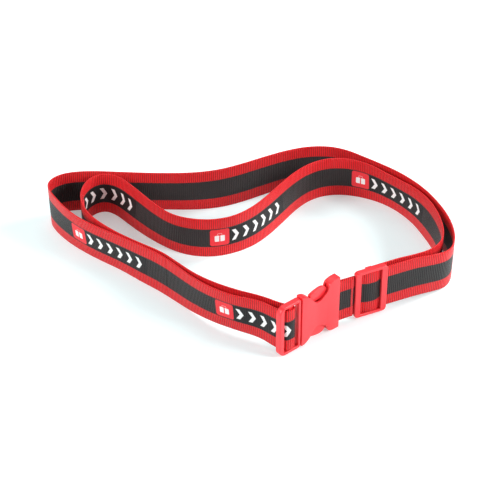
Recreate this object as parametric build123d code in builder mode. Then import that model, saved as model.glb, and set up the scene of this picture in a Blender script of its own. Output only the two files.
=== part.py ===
from build123d import *
import math
import os

os.makedirs("parts", exist_ok=True)

# A 50 mm luggage strap, closed and standing doubled on its edge: a side-release buckle, a slider
# that shortens the strap, and one webbing that runs round twice. Millimetres: +X along the loop's
# long side, +Y towards its back, +Z up. The origin is under the middle of the loop, on the surface
# that the strap stands on.

# Webbing
webbing_width = 50.0
webbing_thickness = 1.6
half = webbing_thickness / 2

# Clearances
flex_gap = 0.4
layer_gap = 0.2
nesting_gap = 0.4
run_gap = 0.3
slot_play = 5.0
slider_play = 0.5
webbing_drop = 1.5  # the webbing hangs this much below the middle of the buckle

# Side-release buckle: lengths run from the mouth of the female part, depths from the front face
buckle_corner = (56.7, -142.3)
buckle_turn = 41.3  # degrees from +X
frame_rail = 4.5
slot_height = webbing_width + slot_play
buckle_height = slot_height + 2 * frame_rail
lift = (buckle_height - webbing_width) / 2 - webbing_drop  # webbing's lower edge at a fitting
buckle_depth = 9.0
female_length = 52.0
mouth_height = 0.953 * buckle_height
waist_height = 0.64 * buckle_height
scoop_height = 0.47 * buckle_height
ear_height = 0.875 * buckle_height
shell_wall = 2.2
throat_height = 0.7125 * buckle_height
throat_length = 12.5
cavity_length = female_length - 14
female_bar_start = female_length - 9.8
pocket_start = female_bar_start - 2 * run_gap - webbing_thickness
female_bar_width = 5.2
female_bar_behind = shell_wall + layer_gap + webbing_thickness + run_gap
female_bar_depth = 2.8
male_reach = 29.7
outer_bar_width = 6.0
male_shoulder = 1.4  # gap from the male frame to the mouth
male_root_width = 3.1
male_bar_start = 17.0
male_bar_width = 6.4
male_bar_behind = 2.3
male_bar_depth = 3.0
male_wrap_room = 2.4  # from the bar's side to the middle of the webbing beside it
male_rail = 3.2
frame_depth = 6.2
frame_height = slot_height + 2 * male_rail
frame_behind = 0.3
root_length = 2.5
tongue_height = 10.0
tongue_length = 29.0
tongue_depth = 3.4
arm_depth = 3.6
arm_length = 37.0
arm_hinge_along = 5.5
arm_hinge_radius = 2.7
shoulder_step = 3.3

# Slider: lengths run from its left edge, depths from its front face
slider_gap = (17.1, 10.0)  # in plan, from the female part's end to the slider
slider_turn = 25.5  # degrees from +X
slider_length = 37.7
slider_rail = 3.5
slider_height = webbing_width + 2 * (slider_rail + slider_play)
slider_bar_width = 7.0
slider_bar_depth = 3.0
slider_depth = 5.6
sewn_bar_width = 7.2
sewn_bar_behind = slider_bar_depth + 2 * (run_gap + webbing_thickness) + nesting_gap
sewn_bar_depth = 2.8
boss_width = 7.2
boss_height = 1.4
bar_rounding = 1.2

# Stitching, in rows across the webbing
stitch_length = 2.6
stitch_width = 0.7
stitch_height = 0.4
stitch_pitch = 3.6
stitch_count = 13
row_spacing = 4.0

# Planes of the two fittings: x along the fitting, y up, z out of its front face
buckle_angle = math.radians(buckle_turn)
slider_angle = math.radians(slider_turn)
slider_corner = (
    buckle_corner[0] + female_length * math.cos(buckle_angle) + slider_gap[0],
    buckle_corner[1] + female_length * math.sin(buckle_angle) + slider_gap[1],
)
slider_middle = lift + webbing_width / 2
buckle_face = Plane(
    origin=(*buckle_corner, buckle_height / 2),
    x_dir=(math.cos(buckle_angle), math.sin(buckle_angle), 0),
    z_dir=(math.sin(buckle_angle), -math.cos(buckle_angle), 0),
)
slider_face = Plane(
    origin=(*slider_corner, slider_middle),
    x_dir=(math.cos(slider_angle), math.sin(slider_angle), 0),
    z_dir=(math.sin(slider_angle), -math.cos(slider_angle), 0),
)

# Depths of the webbing's layers behind the slider's front face
run_behind = slider_bar_depth + run_gap + half
flap_behind = run_behind - webbing_thickness - layer_gap
wrap_front = sewn_bar_behind - run_gap - half
wrap_back = sewn_bar_behind + sewn_bar_depth + run_gap + half
sewn_behind = wrap_back - webbing_thickness - layer_gap
sewn_bar_start = slider_length / 2 - sewn_bar_width / 2
sewn_bar_end = sewn_bar_start + sewn_bar_width


def on_buckle(along, behind):
    """The plan position of a point measured on the buckle."""
    point = buckle_face.from_local_coords((along, 0, -behind))
    return (point.X, point.Y)


def on_slider(along, behind):
    """The plan position of a point measured on the slider."""
    point = slider_face.from_local_coords((along, 0, -behind))
    return (point.X, point.Y)


def bar_end(face, along, behind, height):
    """The level plane at the foot of an upright bar whose middle is at this place."""
    foot = face.from_local_coords((along, -height / 2, -behind))
    return Plane(origin=foot, x_dir=face.x_dir, z_dir=(0, 0, 1))


# The webbing's route in plan. One end is sewn round the female part's bar, a straight run passes
# through the slider, and the two rounds lead to the end that is sewn round the slider's middle
# bar. Each stretch is a node of its own.
run_start = -4.5
run_end = 75.0
female_wrap_front = female_bar_behind - run_gap - half
female_wrap_back = female_bar_behind + female_bar_depth + run_gap + half
female_wrap_left = female_bar_start - run_gap - half
fitting_turn = buckle_angle - slider_angle
slider_start_behind = -buckle_face.to_local_coords(Vector(*slider_corner, slider_middle)).Z
flap_corner = (slider_start_behind + flap_behind * math.cos(fitting_turn) - female_wrap_front) / math.sin(
    fitting_turn
)
male_wrap_left = -male_bar_start - male_wrap_room
male_wrap_right = male_bar_width - male_bar_start + male_wrap_room
male_wrap_front = male_bar_behind - run_gap - layer_gap - half
sewn_end = {
    "webbing_female_end": [
        on_slider(-1.6, flap_behind),
        on_slider(flap_corner, flap_behind),
        on_buckle(female_wrap_left, female_wrap_front),
        on_buckle(female_wrap_left, female_wrap_back),
        on_buckle(female_length - 2.2, female_wrap_back),
        on_slider(flap_corner, run_behind),
        on_slider(run_start, run_behind),
    ],
}
rounds = {
    "webbing_right_lead": [
        on_slider(run_end, run_behind),
        on_slider(90.0, run_behind),
        (213.0, -45.0),
    ],
    "webbing_outer_right": [
        (221.0, -28.0),
        (223.0, -5.0),
        (219.0, 23.0),
        (209.0, 52.0),
        (196.0, 78.0),
        (180.0, 99.5),
        (165.0, 115.0),
        (149.0, 128.5),
    ],
    "webbing_outer_back_right": [
        (132.0, 142.0),
        (115.0, 154.5),
        (95.0, 160.7),
        (71.0, 160.1),
        (46.0, 152.5),
        (20.0, 138.5),
        (-5.0, 124.5),
        (-30.0, 112.0),
    ],
    "webbing_outer_back_left": [
        (-60.0, 105.5),
        (-100.0, 106.5),
        (-140.0, 108.5),
        (-176.0, 110.0),
    ],
    "webbing_outer_left": [
        (-202.0, 107.5),
        (-217.0, 99.5),
        (-223.4, 86.0),
        (-220.0, 71.0),
        (-211.0, 55.0),
        (-196.0, 36.5),
        (-178.0, 20.0),
    ],
    "webbing_front": [
        (-158.0, 4.0),
        (-137.0, -11.0),
        (-114.0, -30.5),
        (-93.0, -48.5),
    ],
    "webbing_front_lead": [
        (-75.0, -67.5),
        (-57.5, -88.0),
        (-36.0, -107.0),
        (-11.0, -122.5),
        (14.0, -133.0),
    ],
    "webbing_at_male": [
        on_buckle(-24.0, 12.5),
        on_buckle(-21.0, 6.5),
        on_buckle(male_wrap_left, male_wrap_front),
        on_buckle(male_wrap_right, male_wrap_front),
        on_buckle(male_wrap_right, 7.6),
        on_buckle(-14.5, 15.0),
    ],
    "webbing_tail_lead": [
        (16.0, -129.0),
        (-9.0, -118.5),
        (-33.5, -103.5),
        (-54.5, -84.5),
        (-72.0, -64.5),
    ],
    "webbing_tail": [
        (-90.0, -45.5),
        (-111.5, -27.0),
        (-134.5, -7.5),
        (-155.0, 8.0),
    ],
    "webbing_inner_left": [
        (-170.0, 23.0),
        (-180.0, 43.0),
        (-184.0, 65.0),
        (-181.0, 86.0),
        (-172.0, 100.0),
        (-159.0, 104.0),
        (-145.0, 96.5),
        (-132.0, 80.5),
    ],
    "webbing_inner_wave": [
        (-118.0, 63.0),
        (-101.0, 42.5),
        (-82.0, 24.5),
        (-60.0, 15.0),
        (-36.0, 13.0),
        (-13.0, 19.5),
        (7.0, 35.0),
        (24.0, 55.5),
    ],
    "webbing_inner_crest": [
        (40.0, 81.0),
        (56.0, 107.0),
        (74.0, 127.0),
        (96.0, 138.0),
        (121.0, 136.5),
        (145.0, 126.0),
    ],
    "webbing_inner_right": [
        (161.0, 113.5),
        (176.0, 97.5),
        (190.0, 76.5),
        (201.0, 52.0),
        (208.0, 27.0),
        (211.0, 2.0),
        (210.0, -18.0),
    ],
    "webbing_rear_lead": [
        (202.5, -34.0),
        (190.0, -46.0),
        (175.0, -55.5),
        (158.0, -63.7),
    ],
    "webbing_slider_end": [
        on_slider(slider_length + 5.3, wrap_back),
        on_slider(sewn_bar_start - run_gap - half, wrap_back),
        on_slider(sewn_bar_start - run_gap - half, wrap_front),
        on_slider(sewn_bar_end + 2.2, wrap_front),
        on_slider(sewn_bar_end + 6.4, sewn_behind),
        on_slider(slider_length + 3.3, sewn_behind),
    ],
}

# Height of the lower edge at the start and the end of each stretch that isn't on the surface
lower_edges = {
    "webbing_female_end": (lift, lift),
    "webbing_right_lead": (lift, 0),
    "webbing_front_lead": (0, lift),
    "webbing_at_male": (lift, lift),
    "webbing_tail_lead": (lift, 0),
    "webbing_rear_lead": (0, lift),
    "webbing_slider_end": (lift, lift),
}


def halfway(a, b):
    """The point halfway between two plan points."""
    return ((a[0] + b[0]) / 2, (a[1] + b[1]) / 2)


def bend_radius(before, corner, after):
    """The largest arc that a corner of the route has room for."""
    run_in = Vector(*corner) - Vector(*before)
    run_out = Vector(*after) - Vector(*corner)
    half_turn = math.radians(run_in.get_angle(run_out)) / 2
    return 0.45 * min(run_in.length, run_out.length) / math.tan(half_turn)


def make_stretch(label, points, radii, start_height, end_height):
    """Webbing standing on its edge along a plan path, rising or falling evenly along it."""
    start = Vector(*points[0], start_height)
    end = Vector(*points[-1], end_height)
    low = min(start_height, end_height)
    rise = max(start_height, end_height) - low
    with BuildPart() as stretch:
        with BuildSketch(Plane.XY.offset(low)):
            with BuildLine():
                FilletPolyline(*points, radius=radii)
            trace(line_width=webbing_thickness)
        extrude(amount=webbing_width + rise)
        if rise:
            slope = end - start
            across = Vector(-slope.Y, slope.X, 0)
            lower = Plane(origin=start, x_dir=slope, z_dir=slope.cross(across))
            split(bisect_by=lower, keep=Keep.TOP)
            split(bisect_by=lower.offset(webbing_width), keep=Keep.BOTTOM)
    stretch.part.label = label
    export_step(stretch.part, "parts/" + label + ".step")


for stretches in (sewn_end, rounds):
    route = [point for points in stretches.values() for point in points]
    start = 0
    for label, points in stretches.items():
        end = start + len(points)
        path = list(points)
        if start > 0:
            path.insert(0, halfway(route[start - 1], route[start]))
        if end < len(route):
            path.append(halfway(route[end - 1], route[end]))
        corners = range(max(start, 1), min(end, len(route) - 1))
        radii = [bend_radius(*route[i - 1:i + 2]) for i in corners]
        make_stretch(label, path, radii, *lower_edges.get(label, (0, 0)))
        start = end

with BuildPart() as webbing_run:
    with BuildSketch(slider_face.offset(half - run_behind)):
        with Locations(((run_start + run_end) / 2, 0)):
            Rectangle(run_end - run_start, webbing_width)
    extrude(amount=-webbing_thickness)
webbing_run.part.label = "webbing_run"
export_step(webbing_run.part, "parts/webbing_run.step")

# Middles of the three bars that the webbing turns round
female_bar_along = female_bar_start + female_bar_width / 2
female_bar_middle = female_bar_behind + female_bar_depth / 2
male_bar_along = male_bar_width / 2 - male_bar_start
male_bar_middle = male_bar_behind + male_bar_depth / 2
sewn_bar_middle = sewn_bar_behind + sewn_bar_depth / 2
sewn_bar_height = slider_height - 2 * slider_rail + boss_height

# Female part of the buckle: a flat shell, scooped top and bottom so that fingers reach the latches
with BuildPart() as buckle_female:
    with BuildSketch(buckle_face):
        with BuildLine():
            lip = (0, mouth_height / 2)
            waist = (15, waist_height / 2)
            ear = (female_length - 15, ear_height / 2)
            shoulder = (female_length - 6, buckle_height / 2)
            Line((0, 0), lip)
            Spline(lip, (8, mouth_height / 2 - 2.7), waist, tangents=[(1, 0), (0.7, -1)])
            Spline(waist, (23, scoop_height / 2), (female_length - 19, waist_height / 2), ear,
                   tangents=[(0.7, -1), (0.3, 1)])
            Spline(ear, (female_length - 11, ear_height / 2 + 3), shoulder, tangents=[(0.3, 1), (1, 0)])
            Line(shoulder, (female_length, buckle_height / 2))
            Line((female_length, buckle_height / 2), (female_length, 0))
            Line((female_length, 0), (0, 0))
        make_face()
        mirror(about=Plane.XZ)
    extrude(amount=-buckle_depth)
    with BuildSketch(buckle_face.offset(-shell_wall)):
        with Locations((cavity_length / 2, 0)):
            Rectangle(cavity_length, throat_height)
        with Locations(((throat_length + cavity_length) / 2, 0)):
            Rectangle(cavity_length - throat_length, buckle_height)
    extrude(amount=2 * shell_wall - buckle_depth, mode=Mode.SUBTRACT)
    with BuildSketch(buckle_face.offset(-shell_wall)):
        with Locations(((pocket_start + female_length) / 2, 0)):
            Rectangle(female_length - pocket_start, slot_height)
    extrude(amount=-buckle_depth, mode=Mode.SUBTRACT)
    with BuildSketch(bar_end(buckle_face, female_bar_along, female_bar_middle, slot_height + 2)):
        RectangleRounded(female_bar_width, female_bar_depth, radius=bar_rounding)
    extrude(amount=slot_height + 2)
buckle_female.part.label = "buckle_female"
export_step(buckle_female.part, "parts/buckle_female.step")

# Male part of the buckle: a ladder frame for the webbing, a root that fills the mouth and a tongue
frame_length = male_reach - male_shoulder
window_length = frame_length - outer_bar_width - male_root_width
with BuildPart() as buckle_male:
    with BuildSketch(buckle_face.offset(-frame_behind)) as frame_outline:
        with Locations((-male_shoulder - frame_length / 2, 0)):
            Rectangle(frame_length, frame_height)
        fillet(frame_outline.vertices().group_by(Axis.X)[0], radius=8)
        fillet(frame_outline.vertices().group_by(Axis.X)[-1], radius=3)
        with Locations((-male_reach + outer_bar_width + window_length / 2, 0)):
            Rectangle(window_length, slot_height, mode=Mode.SUBTRACT)
    extrude(amount=-frame_depth)
    fillet(buckle_male.faces().sort_by(Axis(buckle_face.origin, buckle_face.z_dir))[-1].edges(), radius=1)
    with BuildSketch(bar_end(buckle_face, male_bar_along, male_bar_middle, slot_height + 2)):
        RectangleRounded(male_bar_width, male_bar_depth, radius=bar_rounding)
    extrude(amount=slot_height + 2)
    with BuildSketch(buckle_face.offset(-shell_wall - flex_gap)):
        with Locations(((root_length - male_shoulder - 1) / 2, 0)):
            Rectangle(root_length + male_shoulder + 1, throat_height - 2 * flex_gap)
    extrude(amount=2 * (shell_wall + flex_gap) - buckle_depth)
    with BuildSketch(buckle_face.offset(-(buckle_depth - tongue_depth) / 2)) as tongue_outline:
        with Locations((root_length + tongue_length / 2, 0)):
            Rectangle(tongue_length, tongue_height)
        fillet(tongue_outline.vertices().group_by(Axis.X)[-1], radius=4)
    extrude(amount=-tongue_depth)
buckle_male.part.label = "buckle_male"
export_step(buckle_male.part, "parts/buckle_male.step")

# Latch arms: each springs outwards behind the throat and is squeezed in to let the buckle go
arm_outer = throat_height / 2 - flex_gap
arm_shoulder = throat_length + flex_gap
hinge_height = arm_outer - arm_hinge_radius
for label, side in (("latch_arm_upper", 1), ("latch_arm_lower", -1)):
    with BuildPart() as latch_arm:
        with BuildSketch(buckle_face.offset(-(buckle_depth - arm_depth) / 2)):
            with BuildLine():
                hinge_end = (arm_hinge_along, arm_outer)
                shoulder_top = (arm_shoulder, arm_outer + shoulder_step)
                tip = (arm_length, arm_outer - 2)
                inner_edge = (22, arm_outer - 6.2)
                ThreePointArc(
                    (arm_hinge_along, hinge_height - arm_hinge_radius),
                    (arm_hinge_along - arm_hinge_radius, hinge_height),
                    hinge_end,
                )
                Line(hinge_end, (arm_shoulder, arm_outer))
                Line((arm_shoulder, arm_outer), shoulder_top)
                Spline(shoulder_top, (21, arm_outer + 6.2), (29, arm_outer + 6.8), tip,
                       tangents=[(1, 0.7), (0.1, -1)])
                Spline(tip, (31, arm_outer - 5.8), inner_edge, tangents=[(-0.3, -1), (-1, 0)])
                Line(inner_edge, (arm_hinge_along, hinge_height - arm_hinge_radius))
            make_face()
            if side < 0:
                mirror(about=Plane.XZ, mode=Mode.REPLACE)
        extrude(amount=-arm_depth)
    latch_arm.part.label = label
    export_step(latch_arm.part, "parts/" + label + ".step")

# Slider: two side bars in front of the webbing and a middle bar behind it, set back on bosses
with BuildPart() as slider:
    with BuildSketch(slider_face):
        with Locations((slider_length / 2, 0)):
            RectangleRounded(slider_length, slider_height, radius=4.5)
            Rectangle(slider_length - 2 * slider_bar_width, slider_height - 2 * slider_rail,
                      mode=Mode.SUBTRACT)
    extrude(amount=-slider_depth)
    fillet(slider.faces().sort_by(Axis(slider_face.origin, slider_face.z_dir))[-1].edges(), radius=1)
    with BuildSketch(slider_face.offset(-slider_bar_depth)):
        with Locations((slider_length / 2, 0)):
            Rectangle(slider_length, slider_height - 2 * slider_rail)
    extrude(amount=-slider_depth, mode=Mode.SUBTRACT)
    with BuildSketch(slider_face.offset(-slider_bar_depth)):
        with Locations((slider_length / 2, 0)):
            with GridLocations(0, slider_height - 2 * slider_rail + boss_height, 1, 2):
                Rectangle(boss_width, boss_height)
    extrude(amount=slider_bar_depth - sewn_bar_behind - sewn_bar_depth)
    with BuildSketch(bar_end(slider_face, slider_length / 2, sewn_bar_middle, sewn_bar_height)):
        RectangleRounded(sewn_bar_width, sewn_bar_depth, radius=bar_rounding)
    extrude(amount=sewn_bar_height)
slider.part.label = "slider"
export_step(slider.part, "parts/slider.step")


# Stitching: two rows of thread across each sewn end, on both faces of the doubled webbing
def make_stitching(label, along, front_layer, back_layer):
    with BuildPart() as stitching:
        with BuildSketch(slider_face.offset(half - front_layer)):
            with Locations((along, 0)):
                with GridLocations(row_spacing, stitch_pitch, 2, stitch_count):
                    Rectangle(stitch_width, stitch_length)
        extrude(amount=stitch_height)
        with BuildSketch(slider_face.offset(-half - back_layer)):
            with Locations((along, 0)):
                with GridLocations(row_spacing, stitch_pitch, 2, stitch_count):
                    Rectangle(stitch_width, stitch_length)
        extrude(amount=-stitch_height)
    stitching.part.label = label
    export_step(stitching.part, "parts/" + label + ".step")


make_stitching("stitching_female_end", -4.4, flap_behind, run_behind)
make_stitching("stitching_slider_end", slider_length - 3.1, sewn_behind, wrap_back)
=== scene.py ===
# %% [markdown]
# # A luggage strap in Blender
# The strap is one long piece of ribbed webbing that stands on its edge and runs round twice, a
# side-release buckle and a slider. The CAD model gives the sizes, places and motions. This lesson
# gives the strap its looks: soft webbing that leans a little, stripes, a print, ribs and moulded
# plastic. Everything is in metres, in the CAD model's own frame.

import math

import bmesh
import bpy
from mathutils import Matrix, Vector


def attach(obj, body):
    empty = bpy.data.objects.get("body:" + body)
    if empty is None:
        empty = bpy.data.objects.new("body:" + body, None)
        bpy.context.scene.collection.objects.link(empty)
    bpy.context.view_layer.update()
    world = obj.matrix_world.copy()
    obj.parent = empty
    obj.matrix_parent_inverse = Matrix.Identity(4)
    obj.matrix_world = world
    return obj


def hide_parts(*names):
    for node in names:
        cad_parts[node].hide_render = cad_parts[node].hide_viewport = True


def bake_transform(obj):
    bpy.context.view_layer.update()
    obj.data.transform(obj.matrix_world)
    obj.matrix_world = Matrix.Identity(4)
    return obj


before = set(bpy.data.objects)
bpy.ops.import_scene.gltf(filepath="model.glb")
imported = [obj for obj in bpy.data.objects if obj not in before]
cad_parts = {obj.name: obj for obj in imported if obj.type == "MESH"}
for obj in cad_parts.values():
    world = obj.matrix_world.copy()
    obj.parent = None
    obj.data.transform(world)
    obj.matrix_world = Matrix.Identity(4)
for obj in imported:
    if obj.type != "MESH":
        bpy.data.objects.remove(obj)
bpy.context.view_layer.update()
mm = 0.001
scene = bpy.context.scene

# %% [markdown]
# ## Camera
# The strap is seen from the front and above with a long lens, which keeps the far side of the loop
# almost as large as the near side. A long lens from far away is the usual way to show a flat
# product without stretching it. The camera looks along +Y and 36 degrees down.

# %% Camera
camera_pitch = math.radians(36.0)
camera_distance = 1.770
camera_target = Vector((0.004, 0.027, 0.0))
sensor_width = 36.0
focal_length = 115.2

camera_data = bpy.data.cameras.new("camera")
camera_data.sensor_width = sensor_width
camera_data.lens = focal_length
camera = bpy.data.objects.new("camera", camera_data)
away = Vector((0.0, -math.cos(camera_pitch), math.sin(camera_pitch)))
camera.location = camera_target + camera_distance * away
camera.rotation_euler = (math.pi / 2 - camera_pitch, 0.0, 0.0)
scene.collection.objects.link(camera)
scene.camera = camera
print("camera at", tuple(round(c, 3) for c in camera.location))

# %% [markdown]
# ## Floor and light
# A white table fades into a white background, so the floor and the surroundings are both almost
# white and only soft shadows show where the strap stands. The floor also glows a little, which keeps
# its shadows pale. It reflects a little less red than green and blue, so the red light that the
# strap throws on it shows less. Four large area lights give soft shadows. The two at the front sides brighten the faces that look
# left and right and leave those that look straight forwards darker. A rim light at the back right
# and a weak light behind put a soft line of light on the upper edges.

# %% Floor
def piece_from(name, bm):
    """An object in the scene made from a bmesh, which is freed."""
    mesh = bpy.data.meshes.new(name)
    bm.to_mesh(mesh)
    bm.free()
    piece = bpy.data.objects.new(name, mesh)
    scene.collection.objects.link(piece)
    return piece


def new_material(name):
    """A material with nodes."""
    material = bpy.data.materials.new(name)
    material.use_nodes = True
    return material


def shader_of(material):
    """The Principled shader of a material."""
    return material.node_tree.nodes["Principled BSDF"]


floor_half_size = 4.0
floor_colour = (0.68, 0.83, 0.84, 1.0)
floor_glow_colour = (0.96, 1.0, 1.0, 1.0)
floor_glow = 0.31

floor_material = new_material("white table")
shader_of(floor_material).inputs["Base Color"].default_value = floor_colour
shader_of(floor_material).inputs["Roughness"].default_value = 0.9
shader_of(floor_material).inputs["Specular IOR Level"].default_value = 0.1
shader_of(floor_material).inputs["Emission Color"].default_value = floor_glow_colour
shader_of(floor_material).inputs["Emission Strength"].default_value = floor_glow

floor_bm = bmesh.new()
bmesh.ops.create_grid(floor_bm, x_segments=1, y_segments=1, size=floor_half_size)
floor = piece_from("floor", floor_bm)
floor.data.materials.append(floor_material)
print("floor is", 2 * floor_half_size, "m wide")

# %% Light
room_strength = 0.28
world = bpy.data.worlds.new("white room")
world.use_nodes = True
world.node_tree.nodes["Background"].inputs["Color"].default_value = (1.0, 1.0, 1.0, 1.0)
world.node_tree.nodes["Background"].inputs["Strength"].default_value = room_strength
scene.world = world
scene.view_settings.view_transform = "Standard"


def softbox(name, place, size, power):
    """A square area light that faces the origin."""
    light = bpy.data.lights.new(name, "AREA")
    light.shape = "SQUARE"
    light.size = size
    light.energy = power
    lamp = bpy.data.objects.new(name, light)
    lamp.location = place
    lamp.rotation_euler = (-Vector(place)).to_track_quat("-Z", "Y").to_euler()
    scene.collection.objects.link(lamp)


softbox("back softbox", (-0.2, 0.9, 1.6), 1.2, 6.0)
softbox("rim softbox", (1.5, 0.75, 0.95), 0.5, 24.0)
softbox("left softbox", (-1.75, -0.75, 1.15), 0.8, 36.0)
softbox("right softbox", (1.75, -0.65, 1.1), 0.6, 34.0)

# %% [markdown]
# ## The webbing's route
# The webbing is 50 mm wide and 1.6 mm thick. It starts with the end that is sewn round the buckle's
# bar, goes straight through the slider, round the outside of the loop, over the male part's bar,
# round the inside, and ends round the slider's middle bar. The CAD model draws it upright. Real
# webbing leans a few millimetres as it relaxes, so each point of the route also has the distances
# that its lower edge (foot) and upper edge (head) stand out towards the printed face, and the
# height of the lower edge (lift). All are in millimetres.

# %% Places on the two fittings
buckle_corner = Vector((56.7, -142.3))
buckle_turn = math.radians(41.3)
slider_corner = Vector((112.9, -98.0))
slider_turn = math.radians(25.5)
held_lift = 5.5


def on_fitting(corner, turn, along, behind):
    """The plan position of a point measured along a fitting and behind its front face."""
    x = corner.x + along * math.cos(turn) - behind * math.sin(turn)
    y = corner.y + along * math.sin(turn) + behind * math.cos(turn)
    return (x, y)


def on_buckle(along, behind, foot=0.0, head=0.0, lift=held_lift):
    """A route point measured on the buckle."""
    return (*on_fitting(buckle_corner, buckle_turn, along, behind), foot, head, lift)


def on_slider(along, behind, foot=0.0, head=0.0, lift=held_lift):
    """A route point measured on the slider."""
    return (*on_fitting(slider_corner, slider_turn, along, behind), foot, head, lift)


print("slider starts at", on_slider(0.0, 0.0)[:2])

# %% The route: x, y, foot, head and lift of each point
outer_round = [
    on_slider(-1.6, 2.3),
    on_slider(-17.5, 2.3),
    on_buckle(41.1, 3.2),
    on_buckle(41.1, 8.2),
    on_buckle(49.8, 8.2),
    on_slider(-17.5, 4.1),
    on_slider(-4.5, 4.1),
    on_slider(6.0, 4.1),
    on_slider(9.5, 4.1),
    on_slider(14.0, 2.0),
    on_slider(24.0, 1.2),
    on_slider(28.5, 4.1),
    on_slider(34.0, 4.1),
    on_slider(50.0, 4.1),
    on_slider(75.0, 4.1),
    on_slider(90.0, 4.1, -1, 1, 3.8),
    (213.0, -45.0, -2, 0, 1.0),
    (221.0, -28.0, -1, 0, 0),
    (223.0, -5.0, 0, 0, 0),
    (219.0, 23.0, 0, 0, 0),
    (209.0, 52.0, 0, 0, 0),
    (196.0, 78.0, 0, 0, 0),
    (180.0, 99.5, 0, 0, 0),
    (165.0, 115.0, 0, 0, 0),
    (149.0, 128.5, 0, 0, 0),
    (132.0, 142.0, 0, 0, 0),
    (115.0, 154.5, 0, 0.5, 0),
    (95.0, 160.7, 0, 2, 0),
    (71.0, 160.1, 0, 2, 0),
    (46.0, 152.5, 0, 1, 0),
    (20.0, 138.5, -1, 1.2, 0),
    (-5.0, 124.5, -2.4, 0.8, 0),
    (-30.0, 112.0, -1.6, 1, 0),
    (-60.0, 105.5, 0, 0.7, 0),
    (-100.0, 106.5, 0.3, -1, 0),
    (-140.0, 108.5, -2.5, -0.5, 0),
    (-176.0, 110.0, -4, 1, 0),
    (-202.0, 107.5, -3, 0, 0),
    (-217.0, 99.5, -2, -1.5, 0),
    (-223.4, 86.0, -2, -1, 0),
    (-220.0, 71.0, -2, -1, 0),
    (-211.0, 55.0, -2.4, -1, 0),
    (-196.0, 36.5, -2.6, 1.7, 0),
    (-178.0, 20.0, -2.2, 4, 0),
    (-158.0, 4.0, -2.2, 3.6, 0),
    (-137.0, -11.0, -2, 3.2, 0),
    (-114.0, -30.5, -0.8, 1, 0),
    (-93.0, -48.5, -1.3, -1.2, 0),
]
male_turn = [
    (-75.0, -67.5, -2, -1, 0),
    (-57.5, -88.0, -3, 0.5, 1.5),
    (-36.0, -107.0, -3, 3, 3.5),
    (-11.0, -122.5, -3, 4.5, 5.0),
    (14.0, -133.0, -1, 2, held_lift),
    on_buckle(-24.0, 12.5),
    on_buckle(-21.0, 6.5),
    on_buckle(-19.4, 1.0),
    on_buckle(-8.2, 1.0),
    on_buckle(-8.2, 7.6),
    on_buckle(-14.5, 15.0),
    (16.0, -129.0, 0, 1, held_lift),
    (-9.0, -118.5, 0, 1, 5.0),
    (-33.5, -103.5, 0, 1, 3.5),
    (-54.5, -84.5, 0, 0.5, 1.5),
    (-72.0, -64.5, 0, 1, 0),
]
inner_round = [
    (-90.0, -45.5, 0, 1.5, 0),
    (-111.5, -27.0, 0, -2, 0),
    (-134.5, -7.5, 0, -4, 0),
    (-155.0, 8.0, 0, -1.5, 0),
    (-170.0, 23.0, 0, 0, 0),
    (-180.0, 43.0, 0, 0, 0),
    (-184.0, 65.0, 0, 0, 0),
    (-181.0, 86.0, 0, 0, 0),
    (-172.0, 100.0, 1, -0.5, 0),
    (-159.0, 104.0, 1, -1.6, 0),
    (-145.0, 96.5, 3, -3.6, 0),
    (-132.0, 80.5, 3, -4, 0),
    (-118.0, 63.0, 2.4, -3, 0),
    (-101.0, 42.5, 0, -1.2, 0),
    (-82.0, 24.5, -2, 0.2, 0),
    (-60.0, 15.0, -1.2, -0.4, 0),
    (-36.0, 13.0, -1.5, -0.8, 0),
    (-13.0, 19.5, -2, -1.5, 0),
    (7.0, 35.0, 0.2, -2.5, 0),
    (24.0, 55.5, 0.6, -3.8, 0),
    (40.0, 81.0, 0.9, -3.6, 0),
    (56.0, 107.0, 0.7, -2.1, 0),
    (74.0, 127.0, 0.4, -0.8, 0),
    (96.0, 138.0, 1.3, 0.2, 0),
    (121.0, 136.5, 0.8, 1, 0),
    (145.0, 126.0, -0.2, 4.5, 0),
    (161.0, 113.5, -1.2, 7, 0),
    (176.0, 97.5, -0.7, 6.5, 0),
    (190.0, 76.5, 0.5, 2, 0),
    (201.0, 52.0, 2, -0.8, 0),
    (208.0, 27.0, 1, -0.8, 0),
    (211.0, 2.0, 0, -0.8, 0),
    (210.0, -18.0, 0, 0, 0),
]
slider_turn_points = [
    (202.5, -34.0, 0, 0, 0.5),
    (190.0, -46.0, 0, 0, 2.0),
    (175.0, -55.5, 0, 0, 4.0),
    (158.0, -63.7, 0, 0, held_lift),
    on_slider(43.0, 11.1),
    on_slider(14.15, 11.1),
    on_slider(14.15, 6.1),
    on_slider(24.65, 6.1),
    on_slider(28.85, 9.3),
    on_slider(41.0, 9.3),
]
route = outer_round + male_turn + inner_round + slider_turn_points
print(len(route), "points on the route")

# %% [markdown]
# ## Rails
# Two smooth NURBS curves carry the webbing's lower and upper edge. They have the same number of
# control points, so the same place on both lies on one cross rib. A NURBS of order 3 touches the
# middle of every run between two points, and that is where the CAD model's stretches end too.

# %% Lower and upper rail
webbing_width = 50.0
rail_resolution = 12


def printed_side(i):
    """The level direction at a route point that the printed face looks in: the walker's right."""
    before = Vector(route[max(i - 1, 0)][:2])
    after = Vector(route[min(i + 1, len(route) - 1)][:2])
    walk = (after - before).normalized()
    return Vector((walk.y, -walk.x))


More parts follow.
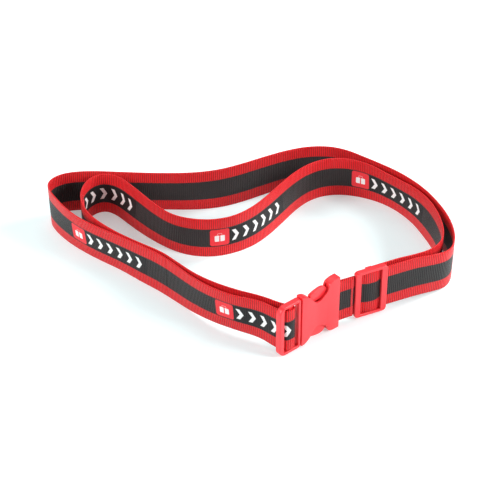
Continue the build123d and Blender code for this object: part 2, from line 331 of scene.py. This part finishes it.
def rail(name, points):
    """Points along a smooth curve that follows these control points, as Blender evaluates it."""
    curve = bpy.data.curves.new(name, "CURVE")
    curve.dimensions = "3D"
    spline = curve.splines.new("NURBS")
    spline.points.add(len(points) - 1)
    for knot, point in zip(spline.points, points):
        knot.co = (*point, 1.0)
    spline.order_u = 3
    spline.use_endpoint_u = True
    spline.resolution_u = rail_resolution
    carrier = bpy.data.objects.new(name, curve)
    mesh = bpy.data.meshes.new_from_object(carrier)
    along = [v.co * mm for v in mesh.vertices]
    bpy.data.objects.remove(carrier)
    bpy.data.curves.remove(curve)
    bpy.data.meshes.remove(mesh)
    return along


low_points = []
high_points = []
for i, (x, y, foot, head, lift) in enumerate(route):
    side = printed_side(i)
    rise = math.sqrt(webbing_width ** 2 - (head - foot) ** 2)
    low_points.append((x + foot * side.x, y + foot * side.y, lift))
    high_points.append((x + head * side.x, y + head * side.y, lift + rise))
low_rail = rail("lower edge", low_points)
high_rail = rail("upper edge", high_points)

walked = [0.0]
for i in range(1, len(low_rail)):
    here = low_rail[i].lerp(high_rail[i], 0.5)
    last = low_rail[i - 1].lerp(high_rail[i - 1], 0.5)
    walked.append(walked[-1] + (here - last).length)
# Here the strap doubles back behind the buckle with some slack, which takes up this much more of it.
slack = 19.0 * mm
slack_from = 1.185
slack_to = 1.262
patterned = []
for s in walked:
    share = min(max((s - slack_from) / (slack_to - slack_from), 0.0), 1.0)
    patterned.append(s + slack * share)
print(len(low_rail), "columns, length", round(walked[-1], 3), "m")

# %% [markdown]
# ## From rails to webbing
# A row of edges laid along the lower rail is extruded upwards in a few steps, as if the webbing
# were pulled out of a slot. Each vertex remembers how far along the strap and how far across it
# lies, in metres, so the stripes, ribs and print can follow the cloth. The sheet then gets its
# thickness from a Solidify modifier, whose other side takes the plain, unprinted material.

# %% Cut the webbing into its four lengths
webbing_thickness = 1.6
selvedge_round = 0.5
rows = 8


def column_at(count):
    """The column halfway between two route points: the last of `count` points and the next one."""
    a = Vector(route[count - 1][:2]) * mm
    b = Vector(route[count][:2]) * mm
    seam = (a + b) / 2
    gaps = [(p.lerp(q, 0.5).xy - seam).length for p, q in zip(low_rail, high_rail)]
    first = int(len(gaps) * (count - 2) / len(route))
    last = min(len(gaps), int(len(gaps) * (count + 2) / len(route)))
    return min(range(first, last), key=lambda k: gaps[k])


ends = [0]
for stretch in (outer_round, male_turn, inner_round):
    ends.append(ends[-1] + len(stretch))
cuts = [0] + [column_at(count) for count in ends[1:]] + [len(low_rail) - 1]
print("cut at", [round(walked[c], 3) for c in cuts])


# %% Build a length of webbing
def webbing(name, first, last):
    """A sheet between the rails from one column to another, facing the printed side."""
    bm = bmesh.new()
    strap = bm.verts.layers.float_vector.new("strap")
    ribs_run = bm.verts.layers.float_vector.new("ribs run")
    column = bm.verts.layers.int.new("column")
    edge = []
    for c in range(first, last + 1):
        vert = bm.verts.new(low_rail[c])
        vert[column] = c
        vert[strap] = (patterned[c], 0.0, 0.0)
        vert[ribs_run] = (high_rail[c] - low_rail[c]).normalized()
        edge.append(vert)
    row_edges = [bm.edges.new(pair) for pair in zip(edge, edge[1:])]
    for row in range(1, rows + 1):
        pulled = bmesh.ops.extrude_edge_only(bm, edges=row_edges)["geom"]
        row_edges = [g for g in pulled if isinstance(g, bmesh.types.BMEdge)]
        for vert in [g for g in pulled if isinstance(g, bmesh.types.BMVert)]:
            c = vert[column]
            vert.co = low_rail[c].lerp(high_rail[c], row / rows)
            vert[strap] = (patterned[c], webbing_width * mm * row / rows, 0.0)
            vert[ribs_run] = (high_rail[c] - low_rail[c]).normalized()
        row_edges = [e for e in row_edges if e.verts[0][strap].y == e.verts[1][strap].y]
    bmesh.ops.recalc_face_normals(bm, faces=bm.faces)
    bm.faces.ensure_lookup_table()
    middle = bm.faces[0]
    c = middle.verts[0][column]
    walk = low_rail[min(c + 1, last)] - low_rail[max(c - 1, first)]
    if middle.normal.xy.dot(Vector((walk.y, -walk.x))) < 0:
        bmesh.ops.reverse_faces(bm, faces=bm.faces)
    for face in bm.faces:
        face.smooth = True
    piece = piece_from(name, bm)
    thick = piece.modifiers.new("thickness", "SOLIDIFY")
    thick.thickness = webbing_thickness * mm
    thick.offset = 0.0
    thick.material_offset = 1
    soft_edge = piece.modifiers.new("soft edge", "BEVEL")
    soft_edge.limit_method = "ANGLE"
    soft_edge.angle_limit = math.radians(60)
    soft_edge.width = selvedge_round * mm
    soft_edge.segments = 2
    return piece


webbing_outer = webbing("webbing_outer_round", cuts[0], cuts[1])
webbing_male = webbing("webbing_male_turn", cuts[1], cuts[2])
webbing_inner = webbing("webbing_inner_round", cuts[2], cuts[3])
webbing_slider = webbing("webbing_slider_turn", cuts[3], cuts[4])
lengths = (webbing_outer, webbing_male, webbing_inner, webbing_slider)
print("faces:", [len(o.data.polygons) for o in lengths])

# %% [markdown]
# ## Colours
# The webbing and the fittings are dyed the same strong red.

# %% Colours
bright_red = (0.90, 0.016, 0.022, 1.0)
# The next colour is painted shade: the red in the grooves between the ribs.
groove_shade_red = (0.24, 0.002, 0.003, 1.0)
charcoal = (0.036, 0.030, 0.030, 1.0)
# The next colour is painted shade: the stripe's black in the grooves between the ribs.
groove_shade_black = (0.003, 0.0028, 0.003, 1.0)
print_black = (0.012, 0.010, 0.011, 1.0)
print_white = (0.86, 0.85, 0.84, 1.0)
badge_red = (0.80, 0.030, 0.042, 1.0)
print("red over its grooves:", round(bright_red[0] / groove_shade_red[0], 1), "times as bright")

# %% [markdown]
# ## A small kit for sums in a material
# Stripes, ribs and print are all sums on two numbers: how far along the strap a point lies, and how
# far across. Writing the nodes one by one is long, so a few helpers make a node and link it.

# %% Helpers for shader sums
class Sums:
    """A material's node tree with short ways to add nodes."""

    def __init__(self, material):
        self.nodes = material.node_tree.nodes
        self.links = material.node_tree.links

    def put(self, socket, value):
        """Links a node's output to a socket, or writes a plain number there."""
        if isinstance(value, (int, float)):
            socket.default_value = value
        else:
            self.links.new(value, socket)

    def sum(self, operation, a, b=0.0, c=0.0):
        """One step of arithmetic."""
        node = self.nodes.new("ShaderNodeMath")
        node.operation = operation
        self.put(node.inputs[0], a)
        self.put(node.inputs[1], b)
        self.put(node.inputs[2], c)
        return node.outputs[0]

    def ramp(self, value, low, high, to_low=0.0, to_high=1.0):
        """A smooth step from one value to another."""
        node = self.nodes.new("ShaderNodeMapRange")
        node.interpolation_type = "SMOOTHSTEP"
        self.put(node.inputs["Value"], value)
        self.put(node.inputs["From Min"], low)
        self.put(node.inputs["From Max"], high)
        self.put(node.inputs["To Min"], to_low)
        self.put(node.inputs["To Max"], to_high)
        return node.outputs["Result"]

    def blend(self, share, a, b):
        """One colour turning into another."""
        node = self.nodes.new("ShaderNodeMix")
        node.data_type = "RGBA"
        self.put(node.inputs["Factor"], share)
        for socket, value in ((node.inputs[6], a), (node.inputs[7], b)):
            if isinstance(value, tuple):
                socket.default_value = value
            else:
                self.links.new(value, socket)
        return node.outputs[2]

    def inside(self, distance, softness=0.15):
        """1 where a distance in millimetres is below zero, with a thin soft border."""
        return self.ramp(distance, -softness, softness, 1.0, 0.0)

    def box(self, x, y, half_x, half_y, corner):
        """Distance from a rectangle with rounded corners whose middle is at 0, 0."""
        over_x = self.sum("MAXIMUM", self.sum("SUBTRACT", self.sum("ABSOLUTE", x), half_x - corner), 0.0)
        over_y = self.sum("MAXIMUM", self.sum("SUBTRACT", self.sum("ABSOLUTE", y), half_y - corner), 0.0)
        squares = self.sum("ADD", self.sum("POWER", over_x, 2.0), self.sum("POWER", over_y, 2.0))
        return self.sum("SUBTRACT", self.sum("SQRT", squares), corner)


print("shader helpers:", [name for name in vars(Sums) if not name.startswith("_")])

# %% [markdown]
# ## The webbing's material
# The webbing is woven with thick ribs across it, a little over 2 mm apart, and fine yarns along it.
# In the middle runs a black stripe, whose border steps in and out with the ribs. The grooves between
# the ribs are lower than the ribs, and painted shade makes them darker. The yarns stretch the gloss
# along the ribs, so each vertex also remembers which way the ribs run. The printed face has a red
# badge with a little suitcase and a row of chevrons, again and again along the strap.

# %% The webbing's material
rib_pitch = 2.3
yarn_pitch = 0.75
stripe_low = 13.25
stripe_high = 36.75
print_pitch = 214.2
print_start = 198.5
badge_size = 21.5
row_start = 24.5
row_end = 107.0
chevron_pitch = 13.9
chevron_stroke = 4.4
chevron_slope = 0.62
chevron_height = 14.0
weave_depth = 0.6
border_step = 0.9


def webbing_material(name, printed):
    """Ribbed webbing with its stripes, with or without the print."""
    material = new_material(name)
    cloth = Sums(material)
    place = cloth.nodes.new("ShaderNodeAttribute")
    place.attribute_name = "strap"
    parts = cloth.nodes.new("ShaderNodeSeparateXYZ")
    cloth.links.new(place.outputs["Vector"], parts.inputs[0])
    along = cloth.sum("MULTIPLY", parts.outputs["X"], 1000.0)
    across = cloth.sum("MULTIPLY", parts.outputs["Y"], 1000.0)

    noise = cloth.nodes.new("ShaderNodeTexNoise")
    noise.inputs["Scale"].default_value = 260.0
    noise.inputs["Detail"].default_value = 3.0
    cloth.links.new(place.outputs["Vector"], noise.inputs["Vector"])
    unevenness = cloth.sum("SUBTRACT", noise.outputs["Fac"], 0.5)

    uneven_along = cloth.sum("ADD", along, cloth.sum("MULTIPLY", unevenness, 0.35))
    rib_phase = cloth.sum("MULTIPLY", uneven_along, math.pi / rib_pitch)
    rib = cloth.sum("ABSOLUTE", cloth.sum("SINE", rib_phase))
    rib = cloth.sum("POWER", rib, 0.8)
    yarn = cloth.sum("ABSOLUTE", cloth.sum("SINE", cloth.sum("MULTIPLY", across, math.pi / yarn_pitch)))

    edge_shift = cloth.sum("MULTIPLY", unevenness, 0.7)
    wavy = cloth.sum("ADD", across, edge_shift)
    half_stripe = (stripe_high - stripe_low) / 2
    from_middle = cloth.sum("ABSOLUTE", cloth.sum("SUBTRACT", wavy, (stripe_low + stripe_high) / 2))
    rib_step = cloth.sum("MULTIPLY", cloth.sum("SUBTRACT", rib, 0.6), border_step)
    border = cloth.sum("SUBTRACT", from_middle, rib_step)
    black = cloth.ramp(border, half_stripe - 0.2, half_stripe + 0.2, 1.0, 0.0)

    # Painted shade: towards the grooves between the ribs, the red, the black stripe and the printed
    # ground turn to their darker groove colours.
    depth = cloth.sum("MULTIPLY", rib, cloth.sum("ADD", 0.8, cloth.sum("MULTIPLY", yarn, 0.2)))
    red = cloth.blend(depth, groove_shade_red, bright_red)
    dark = cloth.blend(depth, groove_shade_black, charcoal)
    colour = cloth.blend(black, red, dark)
    roughness = cloth.ramp(black, 0.0, 1.0, 0.36, 0.42)
    relief = cloth.sum("ADD", cloth.sum("MULTIPLY", rib, 0.8), cloth.sum("MULTIPLY", yarn, 0.2))

    if printed:
        shifted = cloth.sum("SUBTRACT", along, print_start)
        x = cloth.sum("FLOORED_MODULO", shifted, print_pitch)
        y = cloth.sum("SUBTRACT", across, 25.0)
        ground = cloth.box(cloth.sum("SUBTRACT", x, row_end / 2), y, row_end / 2 + 3.0, 11.2, 2.0)
        ground = cloth.inside(ground, 0.3)
        badge_x = cloth.sum("SUBTRACT", x, badge_size / 2)
        badge = cloth.inside(cloth.box(badge_x, y, badge_size / 2, badge_size / 2, 2.6))
        case = cloth.inside(cloth.box(badge_x, cloth.sum("ADD", y, 1.2), 5.6, 3.9, 1.2))
        handle_y = cloth.sum("SUBTRACT", y, 3.4)
        handle = cloth.inside(cloth.sum("ABSOLUTE", cloth.box(badge_x, handle_y, 2.4, 1.9, 0.8)), 0.6)
        strap_line = cloth.inside(cloth.sum("SUBTRACT", cloth.sum("ABSOLUTE", badge_x), 0.7))
        case = cloth.sum("MULTIPLY", case, cloth.sum("SUBTRACT", 1.0, strap_line))
        picture = cloth.sum("MAXIMUM", case, handle)
        lean = cloth.sum("ADD", x, cloth.sum("MULTIPLY", cloth.sum("ABSOLUTE", y), chevron_slope))
        first = row_start + chevron_slope * chevron_height / 2
        step = cloth.sum("FLOORED_MODULO", cloth.sum("SUBTRACT", lean, first), chevron_pitch)
        chevron = cloth.inside(cloth.sum("SUBTRACT", step, chevron_stroke), 0.25)
        within = cloth.inside(cloth.box(cloth.sum("SUBTRACT", x, (row_start + row_end) / 2), y,
                                        (row_end - row_start) / 2, chevron_height / 2, 0.3))
        chevrons = cloth.sum("MULTIPLY", chevron, within)
        white = cloth.sum("MAXIMUM", cloth.sum("MULTIPLY", picture, badge), chevrons)
        started = cloth.sum("GREATER_THAN", along, print_start - 5.0)
        ground = cloth.sum("MULTIPLY", ground, started)
        badge = cloth.sum("MULTIPLY", badge, started)
        white = cloth.sum("MULTIPLY", white, started)
        # The printed ground also gets painted shade in the grooves between the ribs.
        colour = cloth.blend(ground, colour, cloth.blend(depth, groove_shade_black, print_black))
        colour = cloth.blend(badge, colour, badge_red)
        colour = cloth.blend(white, colour, print_white)
        smoother = cloth.sum("SUBTRACT", 1.0, cloth.sum("MULTIPLY", ground, 0.65))
        relief = cloth.sum("MULTIPLY", relief, smoother)

    bump = cloth.nodes.new("ShaderNodeBump")
    bump.inputs["Distance"].default_value = weave_depth * mm
    bump.inputs["Strength"].default_value = 1.0
    cloth.links.new(relief, bump.inputs["Height"])
    shader = shader_of(material)
    cloth.links.new(bump.outputs["Normal"], shader.inputs["Normal"])
    cloth.links.new(colour, shader.inputs["Base Color"])
    cloth.links.new(roughness, shader.inputs["Roughness"])
    ribs_run = cloth.nodes.new("ShaderNodeAttribute")
    ribs_run.attribute_name = "ribs run"
    cloth.links.new(ribs_run.outputs["Vector"], shader.inputs["Tangent"])
    shader.inputs["Anisotropic"].default_value = 0.8
    shader.inputs["Specular IOR Level"].default_value = 0.25
    shader.inputs["Sheen Weight"].default_value = 0.05
    shader.inputs["Sheen Roughness"].default_value = 0.4
    return material


printed_webbing = webbing_material("printed webbing", True)
plain_webbing = webbing_material("plain webbing", False)
for piece in lengths:
    piece.data.materials.append(printed_webbing)
    piece.data.materials.append(plain_webbing)
print("webbing nodes:", len(printed_webbing.node_tree.nodes))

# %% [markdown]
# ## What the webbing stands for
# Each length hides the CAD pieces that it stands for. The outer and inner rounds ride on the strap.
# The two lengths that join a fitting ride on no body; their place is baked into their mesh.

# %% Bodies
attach(webbing_outer, "strap")
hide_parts("webbing_female_end", "webbing_run", "webbing_right_lead", "webbing_outer_right",
            "webbing_outer_back_right", "webbing_outer_back_left", "webbing_outer_left", "webbing_front")
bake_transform(webbing_male)
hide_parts("webbing_front_lead", "webbing_at_male", "webbing_tail_lead")
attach(webbing_inner, "strap")
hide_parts("webbing_tail", "webbing_inner_left", "webbing_inner_wave",
            "webbing_inner_crest", "webbing_inner_right")
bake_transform(webbing_slider)
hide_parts("webbing_rear_lead", "webbing_slider_end")
print("lengths on their bodies:", len(lengths))

# %% [markdown]
# ## Moulded fittings
# The buckle, its two latches and the slider come out of a mould, so no edge on them is truly sharp.
# The CAD pieces already have the right outlines. A copy of each is welded into a closed shell, its
# flat faces are joined up again, and every sharp edge gets a small round. The round is what catches
# the light.

# %% Round the edges of a copy of a CAD piece
def moulded(name, node, body, edge_radius):
    """A fitting made from one CAD piece, with soft edges, that rides on a body."""
    bm = bmesh.new()
    bm.from_mesh(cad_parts[node].data)
    bmesh.ops.remove_doubles(bm, verts=bm.verts, dist=0.005 * mm)
    bmesh.ops.dissolve_limit(bm, angle_limit=math.radians(2.0), verts=bm.verts, edges=bm.edges)
    bmesh.ops.recalc_face_normals(bm, faces=bm.faces)
    sharp = [e for e in bm.edges if e.is_manifold and e.calc_face_angle() > math.radians(38)]
    rounded = bm.faces.layers.float.new("rounded")
    rounds = bmesh.ops.bevel(bm, geom=sharp, affect="EDGES", offset=edge_radius, segments=3, profile=0.5,
                             material=-1, clamp_overlap=True)["faces"]
    for face in rounds:
        face[rounded] = 1.0
    for face in bm.faces:
        face.smooth = True
    piece = piece_from(name, bm)
    piece.data.set_sharp_from_angle(angle=math.radians(35))
    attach(piece, body)
    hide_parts(node)
    return piece


buckle_round = 0.8 * mm
small_round = 0.7 * mm
fittings = [
    moulded("moulded_female", "buckle_female", "strap", buckle_round),
    moulded("moulded_male", "buckle_male", "male", buckle_round),
    moulded("moulded_latch_upper", "latch_arm_upper", "latch_upper", small_round),
    moulded("moulded_latch_lower", "latch_arm_lower", "latch_lower", small_round),
    moulded("moulded_slider", "slider", "adjuster", small_round),
]
print("fitting faces:", [len(o.data.polygons) for o in fittings])

# %% [markdown]
# ## Moulded plastic
# The plastic is dyed red all through and has a soft gloss. It has a very fine grain from the mould,
# a slow waviness that breaks up its reflections, and small patches on the rounded edges that are a
# little paler and duller.

# %% Plastic
plastic_red = (0.86, 0.028, 0.038, 1.0)
# A paler red for patches on the rounded edges.
pale_edge_red = (0.90, 0.12, 0.12, 1.0)
grain_depth = 0.08

plastic = new_material("moulded red plastic")
grain = Sums(plastic)
spot = grain.nodes.new("ShaderNodeTexCoord")
rounded = grain.nodes.new("ShaderNodeAttribute")
rounded.attribute_name = "rounded"


def plastic_noise(scale, detail):
    """Noise that stays in place on the plastic."""
    noise = grain.nodes.new("ShaderNodeTexNoise")
    noise.inputs["Scale"].default_value = scale
    noise.inputs["Detail"].default_value = detail
    grain.links.new(spot.outputs["Object"], noise.inputs["Vector"])
    return noise.outputs["Fac"]


fine_grain = plastic_noise(1400.0, 2.0)
waviness = plastic_noise(90.0, 1.0)
patch_noise = plastic_noise(420.0, 4.0)
# Paler, duller patches only on the rounded edge faces, where the noise allows.
pale_edge_patch = grain.sum("MULTIPLY", rounded.outputs["Fac"], grain.ramp(patch_noise, 0.42, 0.66))
grain.links.new(grain.blend(pale_edge_patch, plastic_red, pale_edge_red), shader_of(plastic).inputs["Base Color"])
edge_patch_dullness = grain.sum("MULTIPLY", pale_edge_patch, 0.15)
dullness = grain.sum("ADD", grain.ramp(patch_noise, 0.3, 0.7, 0.30, 0.38), edge_patch_dullness)
grain.links.new(dullness, shader_of(plastic).inputs["Roughness"])
plastic_relief = grain.sum("ADD", grain.sum("MULTIPLY", fine_grain, 0.25), waviness)
plastic_bump = grain.nodes.new("ShaderNodeBump")
plastic_bump.inputs["Distance"].default_value = grain_depth * mm
plastic_bump.inputs["Strength"].default_value = 0.5
grain.links.new(plastic_relief, plastic_bump.inputs["Height"])
grain.links.new(plastic_bump.outputs["Normal"], shader_of(plastic).inputs["Normal"])
for piece in fittings:
    piece.data.materials.append(plastic)
print("plastic nodes:", len(plastic.node_tree.nodes))

# %% [markdown]
# ## Stitching
# Each sewn end is closed by a bar tack: one thread that zigzags densely across the webbing, on both
# faces. A stitch is a short round thread, so one thin six-sided cylinder stands for it, turned one
# way and the other in turn. Both seams are the same shape, set at their own places on the slider.

# %% Thread
thread_thickness = 0.55
tack_width = 2.6
tack_count = 76
tack_margin = 2.0
# For each seam: its place along the slider, and how far back the middles of its two layers lie.
female_tack = (-3.6, 2.3, 4.1)
slider_tack = (35.4, 9.3, 11.1)


def bar_tack(name, node, body, along, front_layer, back_layer):
    """Zigzag stitches on both faces of a doubled webbing, at a place along the slider."""
    bm = bmesh.new()
    pitch = (webbing_width - 2 * tack_margin) / tack_count
    length = math.hypot(tack_width, pitch)
    tilt = math.atan2(pitch, tack_width)
    radius = thread_thickness * mm / 2
    for behind in (front_layer - webbing_thickness / 2, back_layer + webbing_thickness / 2):
        x, y = on_fitting(slider_corner, slider_turn, along, behind)
        for k in range(tack_count):
            height = held_lift + tack_margin + (k + 0.5) * pitch
            lie = Matrix.Translation((x * mm, y * mm, height * mm)) @ Matrix.Rotation(slider_turn, 4, "Z")
            lie = lie @ Matrix.Rotation(tilt if k % 2 else -tilt, 4, "Y")
            lie = lie @ Matrix.Rotation(math.pi / 2, 4, "Y")
            bmesh.ops.create_cone(bm, cap_ends=True, segments=6, radius1=radius, radius2=radius,
                                  depth=length * mm, matrix=lie)
    for face in bm.faces:
        face.smooth = True
    piece = piece_from(name, bm)
    piece.data.set_sharp_from_angle(angle=math.radians(70))
    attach(piece, body)
    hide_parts(node)
    return piece


tacks = [
    bar_tack("bar_tack_female_end", "stitching_female_end", "strap", *female_tack),
    bar_tack("bar_tack_slider_end", "stitching_slider_end", "adjuster", *slider_tack),
]

thread_low = (0.45, 0.006, 0.010, 1.0)
thread_high = (0.95, 0.03, 0.04, 1.0)
thread = new_material("red thread")
fibre = Sums(thread)
thread_spot = fibre.nodes.new("ShaderNodeTexCoord")
thread_noise = fibre.nodes.new("ShaderNodeTexNoise")
thread_noise.inputs["Scale"].default_value = 2600.0
thread_noise.inputs["Detail"].default_value = 2.0
fibre.links.new(thread_spot.outputs["Object"], thread_noise.inputs["Vector"])
thread_colour = fibre.blend(thread_noise.outputs["Fac"], thread_low, thread_high)
fibre.links.new(thread_colour, shader_of(thread).inputs["Base Color"])
thread_bump = fibre.nodes.new("ShaderNodeBump")
thread_bump.inputs["Distance"].default_value = 0.1 * mm
fibre.links.new(thread_noise.outputs["Fac"], thread_bump.inputs["Height"])
fibre.links.new(thread_bump.outputs["Normal"], shader_of(thread).inputs["Normal"])
shader_of(thread).inputs["Roughness"].default_value = 0.5
for piece in tacks:
    piece.data.materials.append(thread)
print("stitches per seam:", 2 * tack_count)

# %% [markdown]
